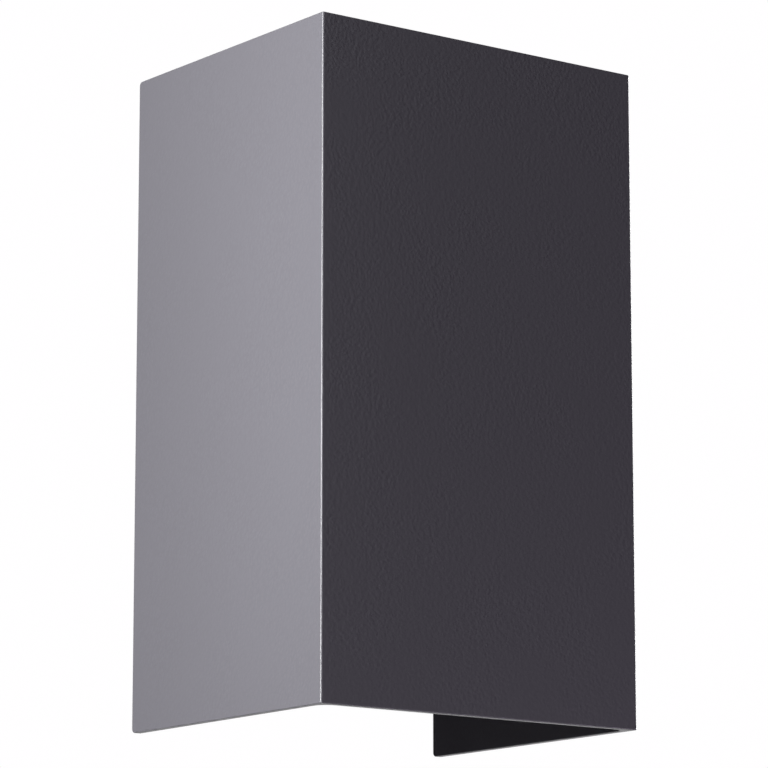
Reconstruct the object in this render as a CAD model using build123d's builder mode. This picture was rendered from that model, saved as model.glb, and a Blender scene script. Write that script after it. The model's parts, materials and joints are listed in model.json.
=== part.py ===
"""Outdoor wall light that shines up and down.

A die-cast cover, U-shaped in plan and open at the top, the bottom and the wall side, is screwed to
a sealed housing with an LED window at each end. A rear frame on the housing goes over the two tabs of
a wall bracket, so cover and housing slide on as one head, and a grub screw at each end holds them.

Millimetres. The wall is the plane Y = 0 and the front faces -Y. Values named as a reach are
distances out from the wall, so their Y is negative. +Z is up, and the origin is on the wall,
midway between the wall screws.
"""

import math
import os

from build123d import *

# Cover
cover_width = 115.0
cover_height = 200.0
cover_depth = 96.0
cover_wall = 2.5
cover_outer_radius = 0.5
cover_inner_radius = 4.0
cover_corner_radius = 1.3
cover_rim_radius = 0.3
cover_wall_gap = 1.0
boss_diameter = 10.0
boss_height = 8.0
boss_root_radius = 1.5

# Housing
housing_height = 140.0
core_width = 76.0
housing_wall = 3.0
housing_corner_radius = 4.0
end_wall = 4.0
shelf_thickness = 5.0
flange_overhang = 8.0
flange_thickness = 8.0
frame_depth = 23.0
frame_floor = 3.0
rear_corner_radius = 3.0
frame_pocket_radius = 2.0
fin_count = 6
fin_thickness = 2.0
fin_air_gap = 2.0
fin_margin = 6.0
fin_bevel = 7.0

# Light windows
chamber_depth = 34.0
chamber_corner_radius = 4.0
glass_thickness = 4.0
glass_ledge = 4.0
glass_clearance = 0.3
glass_corner_radius = 5.0
glass_edge_chamfer = 0.5
glass_front_land = 6.5
glass_back_land = 3.0
lens_seal_thickness = 1.5
bezel_thickness = 2.5
bezel_lip = 3.0
bezel_window_chamfer = 1.2
bezel_edge_radius = 0.6
bezel_screw_land = 8.0
bezel_screw_inset = 4.0

# LED boards and reflectors
board_thickness = 1.6
board_clearance = 2.0
board_corner_radius = 2.0
board_screw_inset = 3.5
chip_columns = 6
chip_rows = 2
chip_length = 3.5
chip_width = 2.8
chip_height = 0.8
chip_frame = 0.4
chip_recess = 0.2
reflector_wall = 1.2
reflector_clearance = 0.5
reflector_flare = 10.0
reflector_base_radius = 3.0

# Wall bracket and cable entry
bracket_sheet = 1.5
bracket_side_gap = 3.0
bracket_end_gap = 8.0
bracket_corner_radius = 6.0
bracket_bend_radius = 1.75
tab_width = 40.0
tab_length = 18.0
tab_corner_chamfer = 3.0
tab_clearance = 0.25
dish_base_radius = 20.0
dish_top_radius = 15.0
dish_rise = 4.0
dish_lap = 4.0
dish_bend_radius = 2.0
side_slot_spacing = 60.0
end_slot_spacing = 88.0
wall_slot_length = 12.0
wall_slot_width = 5.2
grommet_hole_radius = 9.0
grommet_flange_radius = 11.5
grommet_flange_thickness = 1.5
grommet_bore_radius = 4.5
grommet_lip = 1.2
grommet_nose_length = 4.0
rear_seal_thickness = 2.0

# Driver, terminal block and earth point
driver_length = 44.0
driver_case_length = 32.0
driver_width = 28.0
driver_depth = 22.0
driver_flange_thickness = 3.0
driver_edge_radius = 2.0
driver_seam = 0.5
driver_seam_height = 7.0
driver_screw_inset = 3.0
driver_boss_diameter = 7.0
driver_boss_height = 4.0
pole_pitch = 10.0
terminal_length = 32.0
terminal_depth = 18.0
terminal_height = 8.5
terminal_gap = 1.0
pole_notch_width = 1.6
pole_notch_depth = 3.0
terminal_wire_height = 4.5
tower_diameter = 7.0
tower_height = 5.0
tower_spacing = 10.0
clamp_length = 16.0
clamp_radius = 2.5
clamp_bore_radius = 1.5
earth_place_x = 24.0
earth_place_forward = 14.0
earth_boss_diameter = 9.0
tag_ring_radius = 4.5
tag_thickness = 0.8
tag_barrel_radius = 1.6
tag_barrel_length = 4.0
tag_barrel_lap = 0.6

# Leads
mains_lead_radius = 1.0
led_lead_radius = 0.8
lead_clearance = 0.1
lead_insertion = 3.0
lead_bend_radius = 4.0
earth_lead_bend_radius = 3.0
led_lead_spacing = 2.6
led_lead_side_gap = 10.0
led_lead_inset = 4.0
led_lead_height = 9.0
led_lead_forward = 4.5
led_lead_stub = 0.8
lead_slot_length = 7.5
lead_slot_width = 3.2

# Screws
screw_fit = 0.05
socket_depth = 1.4
cover_screw_diameter = 3.5
cover_screw_hole = 3.9
cover_screw_engagement = 6.0
cover_screw_inset_x = 7.0
cover_screw_inset_z = 8.0
washer_diameter = 9.0
washer_thickness = 1.0
small_screw_diameter = 3.0
small_screw_engagement = 3.5
screw_hole_slack = 0.5
bezel_screw_engagement = 6.0
bezel_screw_head = 6.0
bezel_screw_angle = 90.0
bezel_screw_shank_gap = 0.2
frame_screw_engagement = 5.0
earth_screw_diameter = 4.0
earth_screw_engagement = 5.0
clamp_screw_diameter = 2.8
clamp_screw_drop = 1.0
lock_screw_diameter = 5.0
lock_screw_length = 6.0
lock_screw_gap = 0.1
lock_screw_reach = 12.0
lock_boss_diameter = 10.0
lock_boss_height = 3.0

# Head sizes that belong to a thread size
pan_head_ratio = 1.9
pan_head_height_ratio = 0.65
socket_ratio = 0.6

# Reaches out from the wall
housing_back = rear_seal_thickness
rear_box_front = housing_back + frame_depth
frame_seat = rear_box_front - frame_floor
cover_front = cover_wall_gap + cover_depth
cover_inner_front = cover_front - cover_wall
housing_front = cover_inner_front - boss_height
compartment_front = housing_front - housing_wall
glass_back = rear_box_front + glass_back_land
glass_front = housing_front - glass_front_land
window_reach = (glass_front + glass_back) / 2
core_reach = (housing_front + rear_box_front) / 2
driver_seat = compartment_front - driver_boss_height
driver_back = driver_seat - driver_depth
terminal_reach = rear_box_front + terminal_gap + terminal_depth / 2
terminal_front = terminal_reach + terminal_depth / 2
earth_reach = terminal_front + earth_place_forward

# Half widths and half heights from the middle of the light
cover_inner_half = cover_width / 2 - cover_wall
housing_half = housing_height / 2
core_half = core_width / 2
flange_half = core_half + flange_overhang
fin_tip = cover_inner_half - fin_air_gap
compartment_half_width = core_half - housing_wall
compartment_half_height = housing_half - chamber_depth - shelf_thickness
rear_space_half_width = flange_half - housing_wall
rear_space_half_height = housing_half - end_wall
cover_screw_x = compartment_half_width - cover_screw_inset_x
cover_screw_z = compartment_half_height - cover_screw_inset_z
frame_screw_z = (compartment_half_height + housing_half) / 2

# Window outlines, in plan
core_depth = housing_front - rear_box_front
glass_width = 2 * (flange_half - bezel_screw_land)
glass_depth = glass_front - glass_back
chamber_width = glass_width - 2 * glass_ledge
chamber_length = glass_depth - 2 * glass_ledge
board_width = chamber_width - 2 * board_clearance
board_length = chamber_length - 2 * board_clearance
board_screw_x = board_width / 2 - board_screw_inset
bezel_screw_x = glass_width / 2 + bezel_screw_land / 2
bezel_screw_y = glass_depth / 2 - bezel_screw_inset
bezel_forward = core_reach - window_reach
reflector_top_width = chamber_width - 2 * reflector_clearance
reflector_top_length = chamber_length - 2 * reflector_clearance
reflector_base_width = reflector_top_width - 2 * reflector_flare
reflector_base_length = reflector_top_length - 2 * reflector_flare
reflector_height = chamber_depth - board_thickness - glass_thickness - reflector_clearance
reflector_angle = math.degrees(math.atan2(reflector_flare, reflector_height))
chip_pitch_x = reflector_base_width / (chip_columns + 1)
chip_pitch_y = reflector_base_length / (chip_rows + 1)

# Leads of the LED boards pass the shelves here
led_lead_x = compartment_half_width - led_lead_side_gap
led_lead_y = board_length / 2 - led_lead_inset

terminal_floor = -compartment_half_height
wire_level = terminal_floor + terminal_wire_height
earth_boss_height = terminal_wire_height - tag_barrel_radius
driver_screw_x = driver_length / 2 - driver_screw_inset

ends = {"upper": 1, "lower": -1}


def end_face(side):
    """Plane of the housing's upper or lower end, centred on its window, facing outwards."""
    return Plane((0, -window_reach, side * housing_half), x_dir=(side, 0, 0), z_dir=(0, 0, side))


def shelf_face(side):
    """Plane at the bottom of an LED chamber, facing the window."""
    return end_face(side).offset(-chamber_depth)


def facing_wall(reach):
    """Upright plane at this reach, facing the wall."""
    return Plane((0, -reach, 0), x_dir=(1, 0, 0), z_dir=(0, 1, 0))


def pan_screw(diameter, length):
    """Screw with a chamfered round head that sits on Z = 0, and a hexagon socket."""
    head_radius = diameter * pan_head_ratio / 2
    head_height = diameter * pan_head_height_ratio
    with BuildPart() as screw:
        with BuildSketch():
            Circle(head_radius)
        extrude(amount=head_height)
        chamfer(screw.edges().group_by(Axis.Z)[-1], head_height / 4)
        with BuildSketch():
            Circle(diameter / 2)
        extrude(amount=-length)
        with BuildSketch(Plane.XY.offset(head_height)):
            RegularPolygon(diameter * socket_ratio / 2, 6)
        extrude(amount=-head_height / 2, mode=Mode.SUBTRACT)
    return screw.part


def countersunk_screw(diameter, head_diameter, length):
    """Screw whose flat head is flush with Z = 0, with a hexagon socket."""
    with BuildPart() as screw:
        with BuildSketch(Plane.XZ):
            with BuildLine():
                Polyline(
                    (0, 0),
                    (head_diameter / 2, 0),
                    (diameter / 2, (diameter - head_diameter) / 2),
                    (diameter / 2, -length),
                    (0, -length),
                    close=True,
                )
            make_face()
        revolve(axis=Axis.Z)
        with BuildSketch():
            RegularPolygon(diameter * socket_ratio / 2, 6)
        extrude(amount=-socket_depth, mode=Mode.SUBTRACT)
    return screw.part


def save(piece, name):
    """Name a finished piece and write it."""
    piece.part.label = name
    export_step(piece.part, f"parts/{name}.step")


os.makedirs("parts", exist_ok=True)

small_screw_hole = small_screw_diameter / 2 + screw_fit

# Cover: a U in plan with sharp outer corners, rounded inner corners and four cast screw bosses
with BuildPart() as cover:
    with BuildSketch(Plane.XY.offset(-cover_height / 2)) as cover_plan:
        with Locations((0, -cover_wall_gap)):
            Rectangle(cover_width, cover_depth, align=(Align.CENTER, Align.MAX))
        fillet(cover_plan.vertices().group_by(Axis.Y)[0], cover_outer_radius)
        with Locations((0, -cover_inner_front)):
            Rectangle(
                2 * cover_inner_half,
                cover_depth,
                align=(Align.CENTER, Align.MIN),
                mode=Mode.SUBTRACT,
            )
        inner_corners = cover_plan.vertices().filter_by(
            lambda corner: abs(abs(corner.X) - cover_inner_half) < screw_fit
        )
        fillet(inner_corners.group_by(Axis.Y)[0], cover_inner_radius)
    extrude(amount=cover_height)
    back_corners = cover.edges().filter_by(Axis.X).group_by(Axis.Y)[-1]
    fillet(back_corners, cover_corner_radius)
    end_rims = cover.faces().sort_by(Axis.Z)[0].edges() + cover.faces().sort_by(Axis.Z)[-1].edges()
    back_rims = cover.edges().filter_by(Axis.Z).group_by(Axis.Y)[-1]
    fillet(end_rims + back_rims, min(cover_rim_radius, cover_wall / 3))
    with BuildSketch(facing_wall(cover_inner_front)):
        with GridLocations(2 * cover_screw_x, 2 * cover_screw_z, 2, 2):
            Circle(boss_diameter / 2)
    extrude(amount=boss_height)
    boss_roots = cover.edges().filter_by(GeomType.CIRCLE).filter_by(
        lambda ring: abs(ring.center().Y + cover_inner_front) < screw_fit
    )
    fillet(boss_roots, boss_root_radius)
    with Locations(facing_wall(housing_front)):
        with GridLocations(2 * cover_screw_x, 2 * cover_screw_z, 2, 2):
            Hole(cover_screw_diameter / 2 + screw_fit, cover_screw_engagement + screw_hole_slack)
save(cover, "cover")

# Housing: a die-cast box with side fins, an end flange round each LED window and a compartment, open
# to the back, for the driver and the mains connection
with BuildPart() as housing:
    with BuildSketch(Plane.XY.offset(-housing_half)) as core_plan:
        with Locations((0, -core_reach)):
            Rectangle(core_width, core_depth)
        fillet(core_plan.vertices().group_by(Axis.Y)[0], housing_corner_radius)
    extrude(amount=housing_height)
    for side in ends.values():
        with BuildSketch(end_face(side)) as flange_plan:
            with Locations((0, -bezel_forward)):
                Rectangle(2 * flange_half, core_depth)
            fillet(flange_plan.vertices().group_by(Axis.Y)[0], housing_corner_radius)
        extrude(amount=-flange_thickness)
    fin_pitch = (core_depth - 2 * fin_margin) / (fin_count - 1)
    fin_top = housing_half - flange_thickness / 2
    fin_root = core_half - housing_wall / 2
    fin_shoulder = (core_half + fin_tip) / 2
    for fin in range(fin_count):
        with BuildSketch(Plane.XZ.offset(rear_box_front + fin_margin + fin * fin_pitch)):
            with BuildLine():
                Polyline(
                    (fin_root, -fin_top),
                    (fin_shoulder, -fin_top),
                    (fin_tip, -fin_top + fin_bevel),
                    (fin_tip, fin_top - fin_bevel),
                    (fin_shoulder, fin_top),
                    (fin_root, fin_top),
                    close=True,
                )
            make_face()
            mirror(about=Plane.YZ)
        extrude(amount=fin_thickness / 2, both=True)
    with BuildSketch(Plane.XZ.offset(rear_box_front)):
        Rectangle(2 * compartment_half_width, 2 * compartment_half_height)
    extrude(amount=compartment_front - rear_box_front, mode=Mode.SUBTRACT)
    for side in ends.values():
        with BuildSketch(end_face(side)):
            RectangleRounded(chamber_width, chamber_length, chamber_corner_radius)
        extrude(amount=-chamber_depth, mode=Mode.SUBTRACT)
        with BuildSketch(end_face(side)):
            RectangleRounded(
                glass_width + 2 * glass_clearance,
                glass_depth + 2 * glass_clearance,
                glass_corner_radius,
            )
        extrude(amount=-(glass_thickness + lens_seal_thickness), mode=Mode.SUBTRACT)
        with Locations(end_face(side)):
            with GridLocations(2 * bezel_screw_x, 2 * bezel_screw_y, 2, 2):
                Hole(small_screw_hole, bezel_screw_engagement + screw_hole_slack)
        with Locations(shelf_face(side)):
            with GridLocations(2 * board_screw_x, 0, 2, 1):
                Hole(small_screw_hole, small_screw_engagement + screw_hole_slack)
        with BuildSketch(shelf_face(side)):
            with Locations((led_lead_x + led_lead_spacing / 2, led_lead_y)):
                SlotOverall(lead_slot_length, lead_slot_width)
        extrude(amount=-shelf_thickness, mode=Mode.SUBTRACT)
    with Locations(facing_wall(rear_box_front)):
        with GridLocations(2 * cover_screw_x, 2 * frame_screw_z, 2, 2):
            Hole(small_screw_hole, frame_screw_engagement + screw_hole_slack)
    with Locations(facing_wall(compartment_front)):
        with GridLocations(2 * cover_screw_x, 2 * cover_screw_z, 2, 2):
            Hole(cover_screw_hole / 2, housing_wall)
    with BuildSketch(facing_wall(compartment_front)):
        with GridLocations(2 * driver_screw_x, 0, 2, 1):
            Circle(driver_boss_diameter / 2)
    extrude(amount=driver_boss_height)
    with Locations(facing_wall(driver_seat)):
        with GridLocations(2 * driver_screw_x, 0, 2, 1):
            Hole(small_screw_hole, small_screw_engagement + screw_hole_slack)
    with BuildSketch(Plane.XY.offset(terminal_floor)):
        with Locations((earth_place_x, -earth_reach)):
            Circle(earth_boss_diameter / 2)
    extrude(amount=earth_boss_height)
    with Locations((earth_place_x, -earth_reach, terminal_floor + earth_boss_height)):
        Hole(earth_screw_diameter / 2 + screw_fit, earth_screw_engagement + screw_hole_slack)
    with Locations((0, -terminal_reach, terminal_floor)):
        with GridLocations(pole_pitch, 0, 2, 1):
            Hole(small_screw_hole, small_screw_engagement + screw_hole_slack)
save(housing, "housing")

# Rear frame: a die-cast tray over the wall bracket, with a window to the housing's compartment and a
# boss for the grub screw at each end
with BuildPart() as rear_frame:
    with BuildSketch(Plane.XZ.offset(housing_back)):
        RectangleRounded(2 * flange_half, housing_height, rear_corner_radius)
    extrude(amount=frame_depth)
    with BuildSketch(Plane.XZ.offset(housing_back)):
        RectangleRounded(2 * rear_space_half_width, 2 * rear_space_half_height, frame_pocket_radius)
    extrude(amount=frame_depth - frame_floor, mode=Mode.SUBTRACT)
    with BuildSketch(Plane.XZ.offset(frame_seat)):
        Rectangle(2 * compartment_half_width, 2 * compartment_half_height)
    extrude(amount=frame_floor, mode=Mode.SUBTRACT)
    for side in ends.values():
        with BuildSketch(end_face(side)):
            with Locations((0, window_reach - lock_screw_reach)):
                Circle(lock_boss_diameter / 2)
        extrude(amount=lock_boss_height)
        with Locations(end_face(side).offset(lock_boss_height)):
            with Locations((0, window_reach - lock_screw_reach)):
                Hole(lock_screw_diameter / 2 + screw_fit, lock_boss_height + end_wall)
    with Locations(facing_wall(frame_seat)):
        with GridLocations(2 * cover_screw_x, 2 * frame_screw_z, 2, 2):
            CounterSinkHole(
                small_screw_diameter / 2 + bezel_screw_shank_gap,
                bezel_screw_head / 2 + screw_fit,
                counter_sink_angle=bezel_screw_angle,
            )
save(rear_frame, "rear_frame")

frame_screw = countersunk_screw(
    small_screw_diameter, bezel_screw_head, frame_floor + frame_screw_engagement
)
with BuildPart(facing_wall(frame_seat)) as rear_frame_screws:
    with GridLocations(2 * cover_screw_x, 2 * frame_screw_z, 2, 2):
        add(frame_screw)
save(rear_frame_screws, "rear_frame_screws")

# Screws and washers that pull the housing onto the cover's bosses
cover_screw = pan_screw(cover_screw_diameter, washer_thickness + housing_wall + cover_screw_engagement)
with BuildPart(facing_wall(compartment_front - washer_thickness)) as cover_screws:
    with GridLocations(2 * cover_screw_x, 2 * cover_screw_z, 2, 2):
        add(cover_screw)
save(cover_screws, "cover_screws")

with BuildPart() as cover_screw_washers:
    with BuildSketch(facing_wall(compartment_front)):
        with GridLocations(2 * cover_screw_x, 2 * cover_screw_z, 2, 2):
            Circle(washer_diameter / 2)
            Circle(cover_screw_hole / 2, mode=Mode.SUBTRACT)
    extrude(amount=washer_thickness)
save(cover_screw_washers, "cover_screw_washers")

# Foam seal between the rear frame's rim and the wall
with BuildPart() as rear_seal:
    with BuildSketch(Plane.XZ):
        RectangleRounded(2 * flange_half, housing_height, rear_corner_radius)
        RectangleRounded(
            2 * rear_space_half_width,
            2 * rear_space_half_height,
            frame_pocket_radius,
            mode=Mode.SUBTRACT,
        )
    extrude(amount=rear_seal_thickness)
save(rear_seal, "rear_seal")

# Wall bracket: bent sheet with a guide tab at each end, a pressed dish for the cable and wall slots
tab_level = rear_space_half_height - tab_clearance - bracket_sheet / 2
with BuildPart() as wall_bracket:
    with BuildSketch(Plane.YZ):
        with BuildLine():
            FilletPolyline(
                (-tab_length, tab_level),
                (-bracket_sheet / 2, tab_level),
                (-bracket_sheet / 2, -tab_level),
                (-tab_length, -tab_level),
                radius=bracket_bend_radius,
            )
        trace(line_width=bracket_sheet)
    extrude(amount=tab_width / 2, both=True)
    chamfer(wall_bracket.edges().filter_by(Axis.Z).group_by(Axis.Y)[0], tab_corner_chamfer)
    with BuildSketch(Plane.XZ):
        RectangleRounded(
            2 * (rear_space_half_width - bracket_side_gap),
            2 * (rear_space_half_height - bracket_end_gap),
            bracket_corner_radius,
        )
    extrude(amount=bracket_sheet)
    with BuildSketch(Plane.XZ):
        Circle(dish_base_radius + dish_lap / 2)
        with GridLocations(side_slot_spacing, 0, 2, 1):
            SlotOverall(wall_slot_length, wall_slot_width)
        with GridLocations(0, end_slot_spacing, 1, 2):
            SlotOverall(wall_slot_length, wall_slot_width, rotation=90)
    extrude(amount=bracket_sheet, mode=Mode.SUBTRACT)
    with BuildSketch(Plane.XY):
        with BuildLine():
            FilletPolyline(
                (dish_base_radius + dish_lap, -bracket_sheet / 2),
                (dish_base_radius, -bracket_sheet / 2),
                (dish_top_radius, -bracket_sheet / 2 - dish_rise),
                (grommet_hole_radius, -bracket_sheet / 2 - dish_rise),
                radius=dish_bend_radius,
            )
        trace(line_width=bracket_sheet)
    revolve(axis=Axis.Y)
save(wall_bracket, "wall_bracket")

# Rubber grommet, clipped into the dish, with a tapered nose round the mains cable
dish_front = dish_rise + bracket_sheet
grommet_front = dish_front + grommet_flange_thickness
with BuildPart() as cable_grommet:
    with BuildSketch(Plane.XY):
        with BuildLine():
            Polyline(
                (grommet_bore_radius, grommet_flange_thickness - dish_rise),
                (grommet_flange_radius, grommet_flange_thickness - dish_rise),
                (grommet_flange_radius, -dish_rise),
                (grommet_hole_radius - screw_fit, -dish_rise),
                (grommet_hole_radius - screw_fit, -dish_front),
                (grommet_flange_radius, -dish_front),
                (grommet_flange_radius, -grommet_front),
                (grommet_hole_radius, -grommet_front),
                (grommet_bore_radius + grommet_lip, -grommet_front - grommet_nose_length),
                (grommet_bore_radius, -grommet_front - grommet_nose_length),
                close=True,
            )
        make_face()
    revolve(axis=Axis.Y)
save(cable_grommet, "cable_grommet")

# Light window at each end, from the LED board outwards
board_screw = pan_screw(small_screw_diameter, board_thickness + small_screw_engagement)
bezel_screw = countersunk_screw(
    small_screw_diameter, bezel_screw_head, bezel_thickness + bezel_screw_engagement
)
for end_name, side in ends.items():
    with BuildPart() as led_board:
        with BuildSketch(shelf_face(side)):
            RectangleRounded(board_width, board_length, board_corner_radius)
            with GridLocations(2 * board_screw_x, 0, 2, 1):
                Circle(small_screw_hole, mode=Mode.SUBTRACT)
            with Locations((led_lead_x + led_lead_spacing / 2, led_lead_y)):
                with GridLocations(led_lead_spacing, 0, 2, 1):
                    Circle(led_lead_radius + lead_clearance, mode=Mode.SUBTRACT)
        extrude(amount=board_thickness)
    save(led_board, f"{end_name}_led_board")

    with BuildPart(shelf_face(side).offset(board_thickness)) as board_screws:
        with GridLocations(2 * board_screw_x, 0, 2, 1):
            add(board_screw)
    save(board_screws, f"{end_name}_board_screws")

    with BuildPart() as led_chips:
        with BuildSketch(shelf_face(side).offset(board_thickness)):
            with GridLocations(chip_pitch_x, chip_pitch_y, chip_columns, chip_rows):
                Rectangle(chip_length, chip_width)
        extrude(amount=chip_height)
        with BuildSketch(shelf_face(side).offset(board_thickness + chip_height)):
            with GridLocations(chip_pitch_x, chip_pitch_y, chip_columns, chip_rows):
                Rectangle(chip_length - 2 * chip_frame, chip_width - 2 * chip_frame)
        extrude(amount=-chip_recess, mode=Mode.SUBTRACT)
    save(led_chips, f"{end_name}_led_chips")

    with BuildPart() as reflector:
        reflector_foot = shelf_face(side).offset(board_thickness)
        with BuildSketch(reflector_foot):
            RectangleRounded(reflector_base_width, reflector_base_length, reflector_base_radius)
        extrude(amount=reflector_height, taper=-reflector_angle)
        with BuildSketch(reflector_foot):
            RectangleRounded(
                reflector_base_width - 2 * reflector_wall,
                reflector_base_length - 2 * reflector_wall,
                reflector_base_radius - reflector_wall,
            )
        extrude(amount=reflector_height, taper=-reflector_angle, mode=Mode.SUBTRACT)
    save(reflector, f"{end_name}_reflector")

    with BuildPart() as lens_seal:
        with BuildSketch(end_face(side).offset(-glass_thickness)):
            RectangleRounded(glass_width, glass_depth, glass_corner_radius)
            RectangleRounded(
                chamber_width, chamber_length, chamber_corner_radius, mode=Mode.SUBTRACT
            )
        extrude(amount=-lens_seal_thickness)
    save(lens_seal, f"{end_name}_lens_seal")

    with BuildPart() as glass:
        with BuildSketch(end_face(side)):
            RectangleRounded(glass_width, glass_depth, glass_corner_radius)
        extrude(amount=-glass_thickness)
        chamfer(glass.edges().filter_by(Axis.Z, reverse=True), glass_edge_chamfer)
    save(glass, f"{end_name}_glass")

    with BuildPart() as bezel:
        with BuildSketch(end_face(side)) as bezel_plan:
            with Locations((0, -bezel_forward)):
                Rectangle(2 * flange_half, core_depth)
            fillet(bezel_plan.vertices().group_by(Axis.Y)[0], housing_corner_radius)
            RectangleRounded(
                glass_width - 2 * bezel_lip,
                glass_depth - 2 * bezel_lip,
                glass_corner_radius - bezel_lip / 2,
                mode=Mode.SUBTRACT,
            )
        extrude(amount=bezel_thickness)
        outer = -1 if side > 0 else 0
        chamfer(bezel.faces().sort_by(Axis.Z)[outer].inner_wires().edges(), bezel_window_chamfer)
        fillet(bezel.faces().sort_by(Axis.Z)[outer].outer_wire().edges(), bezel_edge_radius)
        with Locations(end_face(side).offset(bezel_thickness)):
            with GridLocations(2 * bezel_screw_x, 2 * bezel_screw_y, 2, 2):
                CounterSinkHole(
                    small_screw_diameter / 2 + bezel_screw_shank_gap,
                    bezel_screw_head / 2 + screw_fit,
                    counter_sink_angle=bezel_screw_angle,
                )
    save(bezel, f"{end_name}_bezel")

    with BuildPart(end_face(side).offset(bezel_thickness)) as bezel_screws:
        with GridLocations(2 * bezel_screw_x, 2 * bezel_screw_y, 2, 2):
            add(bezel_screw)
    save(bezel_screws, f"{end_name}_bezel_screws")

    with BuildPart() as lock_screw:
        lock_tip = end_face(side).offset(lock_screw_gap - end_wall - tab_clearance)
        with BuildSketch(lock_tip):
            with Locations((0, window_reach - lock_screw_reach)):
                Circle(lock_screw_diameter / 2)
        extrude(amount=lock_screw_length)
        with BuildSketch(lock_tip.offset(lock_screw_length)):
            with Locations((0, window_reach - lock_screw_reach)):
                RegularPolygon(lock_screw_diameter * socket_ratio / 2, 6)
        extrude(amount=-lock_screw_length / 2, mode=Mode.SUBTRACT)
    save(lock_screw, f"{end_name}_lock_screw")

# Driver on two bosses of the housing's front wall
driver_case_end = driver_case_length / 2
led_lead_reach = driver_back + led_lead_forward
with BuildPart() as led_driver:
    with BuildSketch(facing_wall(driver_seat)):
        RectangleRounded(driver_length, driver_width, driver_edge_radius)
    extrude(amount=driver_flange_thickness)
    with BuildSketch(facing_wall(driver_seat)):
        RectangleRounded(driver_case_length, driver_width, driver_edge_radius)
    extrude(amount=driver_depth)
    fillet(led_driver.faces().sort_by(Axis.Y)[-1].edges(), driver_edge_radius / 2)
    with BuildSketch(facing_wall(driver_seat - driver_seam_height)):
        RectangleRounded(driver_case_length, driver_width, driver_edge_radius)
        RectangleRounded(
            driver_case_length - 2 * driver_seam,
            driver_width - 2 * driver_seam,
            driver_edge_radius - driver_seam,
            mode=Mode.SUBTRACT,
        )
    extrude(amount=driver_seam, mode=Mode.SUBTRACT)
    with Locations(facing_wall(driver_seat + screw_fit)):
        with GridLocations(2 * driver_screw_x, 0, 2, 1):
            Hole(small_screw_hole)
    with Locations(facing_wall(driver_back)):
        with Locations((-pole_pitch, 0), (0, 0)):
            Hole(mains_lead_radius + lead_clearance, lead_insertion)
    for side in ends.values():
        for lead in range(2):
            lead_place = Plane(
                (
                    side * driver_case_end,
                    -led_lead_reach - lead * led_lead_spacing,
                    side * (led_lead_height + lead * led_lead_spacing),
                ),
                z_dir=(side, 0, 0),
            )
            with Locations(lead_place):
                Hole(led_lead_radius + lead_clearance, lead_insertion)
save(led_driver, "led_driver")

driver_screw = pan_screw(small_screw_diameter, driver_flange_thickness + small_screw_engagement)
with BuildPart(facing_wall(driver_seat - driver_flange_thickness)) as driver_screws:
    with GridLocations(2 * driver_screw_x, 0, 2, 1):
        add(driver_screw)
save(driver_screws, "driver_screws")

# Three-pole terminal block on the compartment's floor
terminal_base = Plane((0, -terminal_reach, terminal_floor))
with BuildPart() as terminal_block:
    with BuildSketch(terminal_base):
        Rectangle(terminal_length, terminal_depth)
        with GridLocations(pole_pitch, terminal_depth, 2, 2):
            Rectangle(pole_notch_width, 2 * pole_notch_depth, mode=Mode.SUBTRACT)
    extrude(amount=terminal_height)
    with BuildSketch(terminal_base.offset(terminal_height)):
        with GridLocations(pole_pitch, tower_spacing, 3, 2):
            Circle(tower_diameter / 2)
    extrude(amount=tower_height)
    with Locations(terminal_base.offset(terminal_height)):
        with GridLocations(pole_pitch, 0, 2, 1):
            Hole(small_screw_hole)
    with Locations(terminal_base.offset(terminal_height + tower_height)):
        with GridLocations(pole_pitch, tower_spacing, 3, 2):
            Hole(
                clamp_screw_diameter / 2 + screw_fit,
                terminal_height + tower_height - terminal_wire_height,
            )
    with BuildSketch(Plane((0, -terminal_reach, wire_level), x_dir=(1, 0, 0), z_dir=(0, 1, 0))):
        with GridLocations(pole_pitch, 0, 3, 1):
            Circle(clamp_radius + screw_fit)
    extrude(amount=terminal_depth / 2, both=True, mode=Mode.SUBTRACT)
save(terminal_block, "terminal_block")

with BuildPart() as terminal_clamps:
    with BuildSketch(Plane((0, -terminal_reach, wire_level), x_dir=(1, 0, 0), z_dir=(0, 1, 0))):
        with GridLocations(pole_pitch, 0, 3, 1):
            Circle(clamp_radius)
            Circle(clamp_bore_radius, mode=Mode.SUBTRACT)
    extrude(amount=clamp_length / 2, both=True)
    with Locations(terminal_base.offset(terminal_height)):
        with GridLocations(pole_pitch, tower_spacing, 3, 2):
            Hole(clamp_screw_diameter / 2 + screw_fit, terminal_height - terminal_wire_height)
save(terminal_clamps, "terminal_clamps")

clamp_screw_tip = terminal_wire_height + mains_lead_radius + lead_clearance
clamp_screw_length = terminal_height + tower_height - clamp_screw_drop - clamp_screw_tip
with BuildPart() as terminal_screws:
    with BuildSketch(terminal_base.offset(clamp_screw_tip)):
        with GridLocations(pole_pitch, tower_spacing, 3, 2):
            Circle(clamp_screw_diameter / 2)
    extrude(amount=clamp_screw_length)
    with BuildSketch(terminal_base.offset(clamp_screw_tip + clamp_screw_length)):
        with GridLocations(pole_pitch, tower_spacing, 3, 2):
            Rectangle(clamp_screw_diameter, tag_thickness)
    extrude(amount=-clamp_screw_drop, mode=Mode.SUBTRACT)
save(terminal_screws, "terminal_screws")

fixing_screw = pan_screw(small_screw_diameter, terminal_height + small_screw_engagement)
with BuildPart(terminal_base.offset(terminal_height)) as terminal_fixing_screws:
    with GridLocations(pole_pitch, 0, 2, 1):
        add(fixing_screw)
save(terminal_fixing_screws, "terminal_fixing_screws")

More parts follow.
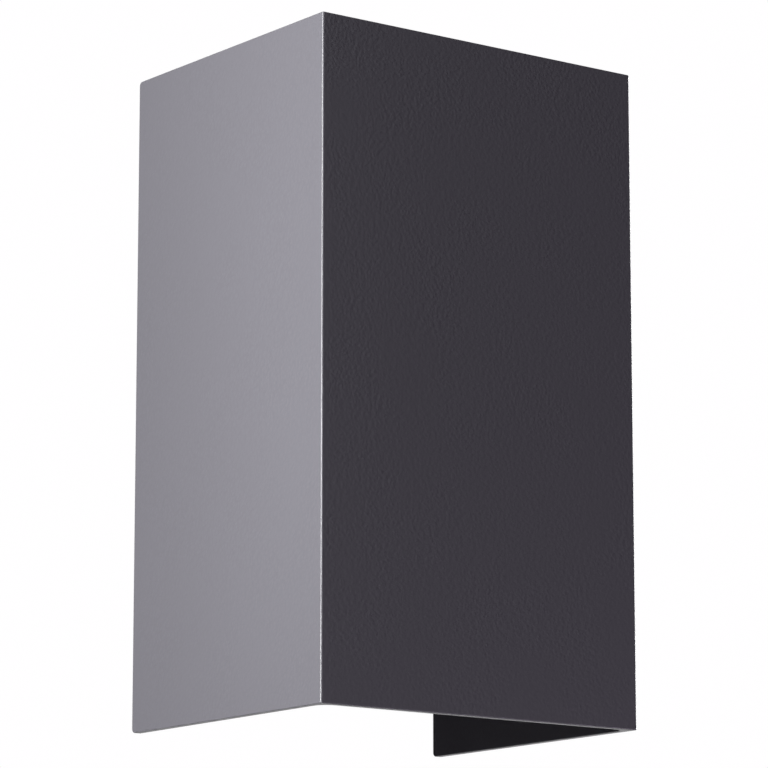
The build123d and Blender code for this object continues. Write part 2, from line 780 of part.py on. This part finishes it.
# Earth point: a ring tag with a crimp barrel, under a screw in a boss of the compartment's floor
earth_seat = Plane((earth_place_x, -earth_reach, terminal_floor + earth_boss_height))
barrel_front = earth_reach - tag_ring_radius + tag_barrel_lap
with BuildPart() as earth_tag:
    with BuildSketch(earth_seat):
        Circle(tag_ring_radius)
        Circle(earth_screw_diameter / 2 + screw_fit, mode=Mode.SUBTRACT)
    extrude(amount=tag_thickness)
    with BuildSketch(Plane((earth_place_x, -barrel_front, wire_level), x_dir=(1, 0, 0), z_dir=(0, 1, 0))):
        Circle(tag_barrel_radius)
        Circle(mains_lead_radius + lead_clearance, mode=Mode.SUBTRACT)
    extrude(amount=tag_barrel_length)
save(earth_tag, "earth_tag")

earth_pan_screw = pan_screw(earth_screw_diameter, tag_thickness + earth_screw_engagement)
with BuildPart(earth_seat.offset(tag_thickness)) as earth_screw:
    add(earth_pan_screw)
save(earth_screw, "earth_screw")

# Mains leads from the terminal block to the driver
clamp_end = terminal_reach + lead_insertion
lead_riser = (terminal_front + driver_back) / 2
driver_end = driver_back + lead_insertion - lead_clearance
riser_bend = min(lead_bend_radius, 0.8 * (driver_end - lead_riser))
for lead_name, lead_x in {"live_lead": -pole_pitch, "neutral_lead": 0.0}.items():
    with BuildPart() as mains_lead:
        with BuildLine() as mains_route:
            FilletPolyline(
                (lead_x, -clamp_end, wire_level),
                (lead_x, -lead_riser, wire_level),
                (lead_x, -lead_riser, 0),
                (lead_x, -driver_end, 0),
                radius=riser_bend,
            )
        with BuildSketch(Plane(mains_route.line @ 0, z_dir=mains_route.line % 0)):
            Circle(mains_lead_radius)
        sweep()
    save(mains_lead, lead_name)

# Earth lead from the terminal block to the crimp barrel
barrel_mouth = barrel_front - tag_barrel_length
earth_lead_turn = (terminal_front + barrel_mouth) / 2
with BuildPart() as earth_lead:
    with BuildLine() as earth_route:
        FilletPolyline(
            (pole_pitch, -clamp_end, wire_level),
            (pole_pitch, -earth_lead_turn, wire_level),
            (earth_place_x, -earth_lead_turn, wire_level),
            (earth_place_x, -barrel_mouth - lead_insertion, wire_level),
            radius=earth_lead_bend_radius,
        )
    with BuildSketch(Plane(earth_route.line @ 0, z_dir=earth_route.line % 0)):
        Circle(mains_lead_radius)
    sweep()
save(earth_lead, "earth_lead")

# Pairs of leads from the driver's ends through the shelves to the LED boards
board_top = housing_half - chamber_depth + board_thickness
shelf_pass = window_reach - led_lead_y
for end_name, side in ends.items():
    with BuildPart() as led_leads:
        for lead in range(2):
            spread = lead * led_lead_spacing
            lead_level = led_lead_height + spread
            with BuildLine() as led_route:
                FilletPolyline(
                    (side * (driver_case_end - lead_insertion + lead_clearance),
                     -led_lead_reach - spread, side * lead_level),
                    (side * (led_lead_x + spread), -led_lead_reach - spread, side * lead_level),
                    (side * (led_lead_x + spread), -shelf_pass, side * lead_level),
                    (side * (led_lead_x + spread), -shelf_pass, side * (board_top + led_lead_stub)),
                    radius=lead_bend_radius,
                )
            with BuildSketch(Plane(led_route.line @ 0, z_dir=led_route.line % 0)):
                Circle(led_lead_radius)
            sweep(path=led_route.line)
    save(led_leads, f"{end_name}_led_leads")
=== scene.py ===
"""Looks of an up-and-down outdoor wall light with a powder-coated die-cast cover."""
import json
import math

import bpy
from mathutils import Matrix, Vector


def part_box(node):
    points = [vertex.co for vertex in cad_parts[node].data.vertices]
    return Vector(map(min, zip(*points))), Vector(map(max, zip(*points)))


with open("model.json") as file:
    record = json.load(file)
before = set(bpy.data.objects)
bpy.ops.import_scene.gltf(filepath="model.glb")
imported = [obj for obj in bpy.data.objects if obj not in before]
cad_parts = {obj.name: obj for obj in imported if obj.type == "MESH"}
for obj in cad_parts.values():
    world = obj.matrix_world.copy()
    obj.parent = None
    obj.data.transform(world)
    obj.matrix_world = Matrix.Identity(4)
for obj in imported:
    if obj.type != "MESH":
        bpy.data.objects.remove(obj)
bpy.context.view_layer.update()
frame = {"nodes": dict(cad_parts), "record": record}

nodes = frame["nodes"]
scene = bpy.context.scene


# Shader helpers

def add(tree, kind, sockets=None, **settings):
    """Add a node. A socket given as another node's output is linked, anything else is its value."""
    made = tree.nodes.new(kind)
    for key, value in settings.items():
        setattr(made, key, value)
    for key, value in (sockets or {}).items():
        if isinstance(value, bpy.types.NodeSocket):
            tree.links.new(value, made.inputs[key])
        else:
            made.inputs[key].default_value = value
    return made


def object_place(tree):
    return tree.nodes.new("ShaderNodeTexCoord").outputs["Object"]


def noise(tree, place, scale, detail=2.0, rough=0.5):
    values = {"Vector": place, "Scale": scale, "Detail": detail, "Roughness": rough}
    return add(tree, "ShaderNodeTexNoise", values).outputs[0]


def maths(tree, operation, first, second=0.0):
    return add(tree, "ShaderNodeMath", {0: first, 1: second}, operation=operation).outputs[0]


def mixed(tree, first, second, share):
    """Sum of two values, the second at its share and the first at what is left."""
    first_part = maths(tree, "MULTIPLY", first, 1 - share)
    second_part = maths(tree, "MULTIPLY", second, share)
    return maths(tree, "ADD", first_part, second_part)


def spread(tree, value, low, high, start=0.0, end=1.0):
    """Carry value from start..end over to low..high."""
    values = {"Value": value, "From Min": start, "From Max": end, "To Min": low, "To Max": high}
    return add(tree, "ShaderNodeMapRange", values).outputs[0]


def blend(tree, mask, first, second):
    """Colour that goes from first to second with the mask. Sockets 6 and 7 and output 2 are the colours."""
    return add(tree, "ShaderNodeMix", {0: mask, 6: first, 7: second}, data_type="RGBA").outputs[2]


def shade(colour, share):
    return tuple(min(1.0, c * share) for c in colour) + (1.0,)


# Patterns that the finishes share, each a node group that puts out a height and a tone

def pattern_group(name, **inputs):
    """Empty node group with number inputs. Returns the group, its inputs, its outputs and the place."""
    group = bpy.data.node_groups.new(name, "ShaderNodeTree")
    for label, value in inputs.items():
        socket = group.interface.new_socket(label, in_out="INPUT", socket_type="NodeSocketFloat")
        socket.default_value = value
    for label in ("Height", "Tone"):
        group.interface.new_socket(label, in_out="OUTPUT", socket_type="NodeSocketFloat")
    entry = group.nodes.new("NodeGroupInput")
    leave = group.nodes.new("NodeGroupOutput")
    return group, entry.outputs, leave.inputs, object_place(group)


def coat_grain():
    """Pebbled grain of a coat or a moulding, shallower between patches, and a broad cloudy tone."""
    pebble_share = 0.62
    fine_to_grains = 1.7
    middle_height = 0.5
    cloud_scale = 14.0
    group, given, result, place = pattern_group(
        "coat_grain", Grains=1600.0, Patches=0.0, Patch_Scale=45.0)
    cells = {"Vector": place, "Scale": given["Grains"], "Smoothness": 0.6}
    pebbles = add(group, "ShaderNodeTexVoronoi", cells, feature="SMOOTH_F1").outputs["Distance"]
    fine = noise(group, place, maths(group, "MULTIPLY", given["Grains"], fine_to_grains))
    relief = maths(group, "ADD", spread(group, pebbles, pebble_share, 0.0, 0.05, 0.75),
                   spread(group, fine, 0.0, 1 - pebble_share, 0.25, 0.75))
    flattest = maths(group, "SUBTRACT", 1.0, given["Patches"])
    patches = spread(group, noise(group, place, given["Patch_Scale"]), flattest, 1.0, 0.4, 0.62)
    swell = maths(group, "MULTIPLY", maths(group, "SUBTRACT", relief, middle_height), patches)
    group.links.new(maths(group, "ADD", swell, middle_height), result["Height"])
    group.links.new(noise(group, place, cloud_scale, 4.0, 0.6), result["Tone"])
    return group


def rolled_sheet():
    """Plated sheet steel: faint rolling lines along X and a soft cloudy plating."""
    group, given, result, place = pattern_group("rolled_sheet", Lines=900.0, Clouds=55.0)
    line_stretch = (0.02, 1.0, 1.0)
    drawn = add(group, "ShaderNodeMapping", {"Vector": place, "Scale": line_stretch}).outputs[0]
    lines = noise(group, drawn, given["Lines"], 3.0, 0.7)
    clouds = noise(group, place, given["Clouds"], 3.0, 0.55)
    group.links.new(lines, result["Height"])
    group.links.new(mixed(group, clouds, lines, 0.3), result["Tone"])
    return group


def foam_cells():
    """Closed-cell foam: pits of uneven size."""
    group, given, result, place = pattern_group("foam_cells", Cells=1100.0)
    fewer_cells = maths(group, "MULTIPLY", given["Cells"], 0.4)
    small, large = (
        add(group, "ShaderNodeTexVoronoi", {"Vector": place, "Scale": scale}).outputs["Distance"]
        for scale in (given["Cells"], fewer_cells)
    )
    pits = maths(group, "MULTIPLY", small, large)
    group.links.new(spread(group, pits, 1.0, 0.0, 0.0, 0.5), result["Height"])
    group.links.new(spread(group, large, 0.2, 1.0, 0.0, 0.8), result["Tone"])
    return group


def board_lands():
    """Copper lands under a board's white mask, one under each chip, with thin gaps between them."""
    gap_width = 0.0003
    speck_scale = 1200.0
    group, given, result, place = pattern_group(
        "board_lands", Land_Length=0.01, Land_Width=0.01, Middle_Y=0.0)
    shift = add(group, "ShaderNodeCombineXYZ", {"Y": given["Middle_Y"]}).outputs[0]
    centred = add(group, "ShaderNodeVectorMath", {0: place, 1: shift}, operation="SUBTRACT").outputs[0]
    grid = {
        "Vector": centred,
        "Scale": 1.0,
        "Mortar Size": gap_width,
        "Mortar Smooth": 0.6,
        "Brick Width": given["Land_Length"],
        "Row Height": given["Land_Width"],
    }
    gaps = add(group, "ShaderNodeTexBrick", grid, offset=0.0).outputs["Fac"]
    group.links.new(spread(group, gaps, 1.0, 0.0), result["Height"])
    group.links.new(noise(group, place, speck_scale), result["Tone"])
    return group


grain = coat_grain()
rolled = rolled_sheet()
foam = foam_cells()
lands = board_lands()


# Finishes, one for each material slot of the record

def surface(name, colour, roughness, pattern=grain, values=None, tone=0.15, rough_spread=0.08, bump=0.4,
            depth=0.0001, **more):
    """Finish whose colour, roughness and bump follow one pattern. more sets other shader sockets."""
    tone_share = 0.4
    made = bpy.data.materials.new(name)
    made.use_nodes = True
    tree = made.node_tree
    body = tree.nodes["Principled BSDF"]
    look = add(tree, "ShaderNodeGroup", node_tree=pattern)
    for key, value in (values or {}).items():
        look.inputs[key].default_value = value
    height = look.outputs["Height"]
    mask = mixed(tree, height, look.outputs["Tone"], tone_share)
    tint = blend(tree, mask, shade(colour, 1 - tone), shade(colour, 1 + tone))
    tree.links.new(tint, body.inputs["Base Color"])
    rough = spread(tree, mask, roughness + rough_spread, roughness - rough_spread)
    tree.links.new(rough, body.inputs["Roughness"])
    relief = add(tree, "ShaderNodeBump", {"Height": height, "Strength": bump, "Distance": depth})
    tree.links.new(relief.outputs[0], body.inputs["Normal"])
    for key, value in more.items():
        body.inputs[key.replace("_", " ")].default_value = value
    return made


def outer_colour(material, level, colour, edge=0.00008):
    """Give a finish another colour where it lies further than level above or below the light's middle."""
    tree = material.node_tree
    base = tree.nodes["Principled BSDF"].inputs["Base Color"]
    inner = base.links[0].from_socket
    height = add(tree, "ShaderNodeSeparateXYZ", {0: object_place(tree)}).outputs["Z"]
    outer = spread(tree, maths(tree, "ABSOLUTE", height), 0.0, 1.0, level - edge / 2, level + edge / 2)
    tree.links.new(blend(tree, outer, inner, colour), base)


def insulation(name, colour):
    return surface(name, colour, 0.40, values={"Grains": 2200.0}, tone=0.12, bump=0.12)


chips_low, chips_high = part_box("upper_led_chips")
chip_columns = 6
chip_length = 0.0035
chip_width = 0.0028
chip_recess = 0.0002
chip_pitch_x = (chips_high[0] - chips_low[0] - chip_length) / (chip_columns - 1)
chip_pitch_y = chips_high[1] - chips_low[1] - chip_width
chips_middle_y = (chips_low[1] + chips_high[1]) / 2

looks = {
    "cover_coat": surface(
        "cover_coat", (0.081, 0.079, 0.089), 0.38, values={"Grains": 800.0, "Patches": 0.5}, tone=0.1,
        bump=0.42, depth=0.00014),
    "housing_coat": surface(
        "housing_coat", (0.026, 0.026, 0.028), 0.46, values={"Grains": 1300.0}, tone=0.2, bump=0.45),
    "bracket_zinc": surface(
        "bracket_zinc", (0.60, 0.62, 0.64), 0.36, rolled, tone=0.12, rough_spread=0.04, bump=0.12,
        depth=0.00005, Metallic=1.0),
    "screw_steel": surface(
        "screw_steel", (0.56, 0.55, 0.54), 0.26, values={"Grains": 2600.0}, tone=0.1, bump=0.15,
        depth=0.00004, Metallic=1.0),
    "black_rubber": surface(
        "black_rubber", (0.022, 0.022, 0.023), 0.62, values={"Grains": 1800.0}, tone=0.25, bump=0.3),
    "foam_rubber": surface(
        "foam_rubber", (0.034, 0.034, 0.036), 0.85, foam, tone=0.45, bump=0.8, depth=0.0004),
    "silicone": surface(
        "silicone", (0.60, 0.60, 0.58), 0.42, values={"Grains": 900.0}, tone=0.08, bump=0.15,
        Subsurface_Weight=0.2, Subsurface_Scale=0.002),
    "frosted_glass": surface(
        "frosted_glass", (0.93, 0.965, 0.955), 0.2, values={"Grains": 4200.0}, tone=0.03,
        rough_spread=0.06, bump=0.15, depth=0.00003, Transmission_Weight=1.0, IOR=1.5, Alpha=0.45),
    "reflector_white": surface(
        "reflector_white", (0.84, 0.84, 0.82), 0.28, values={"Grains": 700.0}, tone=0.04, bump=0.06),
    "board_white": surface(
        "board_white", (0.78, 0.78, 0.76), 0.34, lands, tone=0.09, bump=0.4, depth=0.00006,
        values={"Land_Length": chip_pitch_x, "Land_Width": chip_pitch_y, "Middle_Y": chips_middle_y}),
    "led_phosphor": surface(
        "led_phosphor", (0.82, 0.53, 0.06), 0.36, values={"Grains": 5200.0}, tone=0.12, bump=0.2),
    "driver_case": surface(
        "driver_case", (0.76, 0.76, 0.74), 0.44, values={"Grains": 1500.0}, tone=0.05, bump=0.25),
    "terminal_plastic": surface(
        "terminal_plastic", (0.72, 0.71, 0.65), 0.36, values={"Grains": 1100.0}, tone=0.05, bump=0.12,
        Subsurface_Weight=0.25, Subsurface_Scale=0.002),
    "brass": surface(
        "brass", (0.74, 0.52, 0.22), 0.28, values={"Grains": 2400.0}, tone=0.14, bump=0.15, depth=0.00004,
        Metallic=1.0),
    "tinned_copper": surface(
        "tinned_copper", (0.68, 0.64, 0.58), 0.34, values={"Grains": 2400.0}, tone=0.14, bump=0.2,
        depth=0.00004, Metallic=1.0),
    "lead_brown": insulation("lead_brown", (0.16, 0.055, 0.022)),
    "lead_blue": insulation("lead_blue", (0.022, 0.085, 0.40)),
    "lead_earth": insulation("lead_earth", (0.78, 0.58, 0.035)),
    "lead_white": insulation("lead_white", (0.72, 0.72, 0.70)),
}

# White frame of each chip, round the yellow phosphor in its recess
chip_white = (0.80, 0.80, 0.77, 1.0)
outer_colour(looks["led_phosphor"], chips_high[2] - chip_recess / 2, chip_white)

# Green half of the earth lead, under its yellow half: the lead lies below the light's middle
earth_green = (0.07, 0.34, 0.045, 1.0)
earth_low, earth_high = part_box("earth_lead")
outer_colour(looks["lead_earth"], -(earth_low[2] + earth_high[2]) / 2, earth_green)

for row in frame["record"]["subparts"]:
    skin = nodes[row["node"]].data.materials
    skin.clear()
    skin.append(looks[row["material_slot"]])


# Floor and studio

def paper(name, colour, seen_colour, reflected_share):
    """Matt paper that throws little light at the part, but looks pale.

    The camera sees it in full, and reflections at their share.
    """
    made = bpy.data.materials.new(name)
    made.use_nodes = True
    tree = made.node_tree
    body = tree.nodes["Principled BSDF"]
    body.inputs["Base Color"].default_value = colour
    body.inputs["Roughness"].default_value = 0.9
    body.inputs["Emission Color"].default_value = seen_colour
    ray = add(tree, "ShaderNodeLightPath").outputs
    reflected = maths(tree, "MULTIPLY", ray["Is Glossy Ray"], reflected_share)
    seen = maths(tree, "MAXIMUM", ray["Is Camera Ray"], reflected)
    tree.links.new(seen, body.inputs["Emission Strength"])
    return made


floor_size = 14.0
floor_level = -1.8
floor_grey = (0.4, 0.4, 0.4, 1.0)
floor_pale = (0.9, 0.9, 0.9, 1.0)
bpy.ops.object.select_all(action="DESELECT")
bpy.ops.mesh.primitive_plane_add(size=floor_size, location=(0.0, 0.0, floor_level))
floor = bpy.context.active_object
floor.name = "floor"
floor.data.materials.append(paper("floor_paper", floor_grey, floor_pale, reflected_share=0.39))

scene.view_settings.view_transform = "Standard"
scene.view_settings.look = "None"

studio = bpy.data.worlds.new("studio")
studio.use_nodes = True
scene.world = studio
room = studio.node_tree
walls = room.nodes["Background"]
wall_tint = (1.0, 0.89, 1.08, 1.0)
wall_glow = 0.06
backdrop_tint = (1.0, 0.993, 1.0, 1.0)
backdrop_glow = 1.0
seen = add(room, "ShaderNodeLightPath").outputs["Is Camera Ray"]
room.links.new(blend(room, seen, wall_tint, backdrop_tint), walls.inputs["Color"])
room.links.new(spread(room, seen, wall_glow, backdrop_glow), walls.inputs["Strength"])


def softbox(name, place, aim, size, energy, tint=(1.0, 1.0, 1.0)):
    """Soft light at place, turned to aim, that the camera itself doesn't see."""
    lamp = bpy.data.lights.new(name, "AREA")
    lamp.shape = "RECTANGLE"
    lamp.size, lamp.size_y = size
    lamp.energy = energy
    lamp.color = tint
    made = bpy.data.objects.new(name, lamp)
    scene.collection.objects.link(made)
    made.location = place
    made.rotation_euler = (Vector(aim) - Vector(place)).to_track_quat("-Z", "Y").to_euler()
    made.visible_camera = False


middle = (0.0, -0.05, 0.0)
softbox("edge_strip", (-0.17, -0.10, 0.07), (0.0, -0.10, 0.07), (0.04, 0.37), 0.37)
softbox("left_key", (-1.3, -0.20, 0.16), (0.0, -0.05, 0.05), (0.2, 0.5), 42.3)
softbox("front_fill", (0.85, -0.80, -0.50), (0.05, -0.05, 0.0), (0.5, 0.5), 4.0, (1.0, 0.86, 1.1))
softbox("top", (0.0, 0.0, 1.6), middle, (1.0, 1.0), 10.0)
softbox("right", (1.5, 0.4, 0.3), middle, (0.8, 1.0), 30.0)
softbox("back_right", (0.75, 1.3, 0.4), (0.0, 0.0, 0.0), (1.6, 1.6), 15.0)
softbox("low", (0.28, 0.10, -1.1), middle, (0.3, 0.3), 2.5)

# Camera to the left of the front and a little below the light's middle, looking up at it
camera_aim = Vector((0.00091, -0.048, 0.00521))
camera_turn = math.radians(36.701)
camera_drop = math.radians(11.208)
camera_distance = 1.22248
focal_length = 190.18
film_width = 36.0
level_reach = math.cos(camera_drop)
away = Vector((
    -math.sin(camera_turn) * level_reach,
    -math.cos(camera_turn) * level_reach,
    -math.sin(camera_drop),
))
lens = bpy.data.cameras.new("camera")
lens.lens = focal_length
lens.sensor_width = film_width
camera = bpy.data.objects.new("camera", lens)
scene.collection.objects.link(camera)
camera.location = camera_aim + away * camera_distance
camera.rotation_euler = (-away).to_track_quat("-Z", "Y").to_euler()
scene.camera = camera
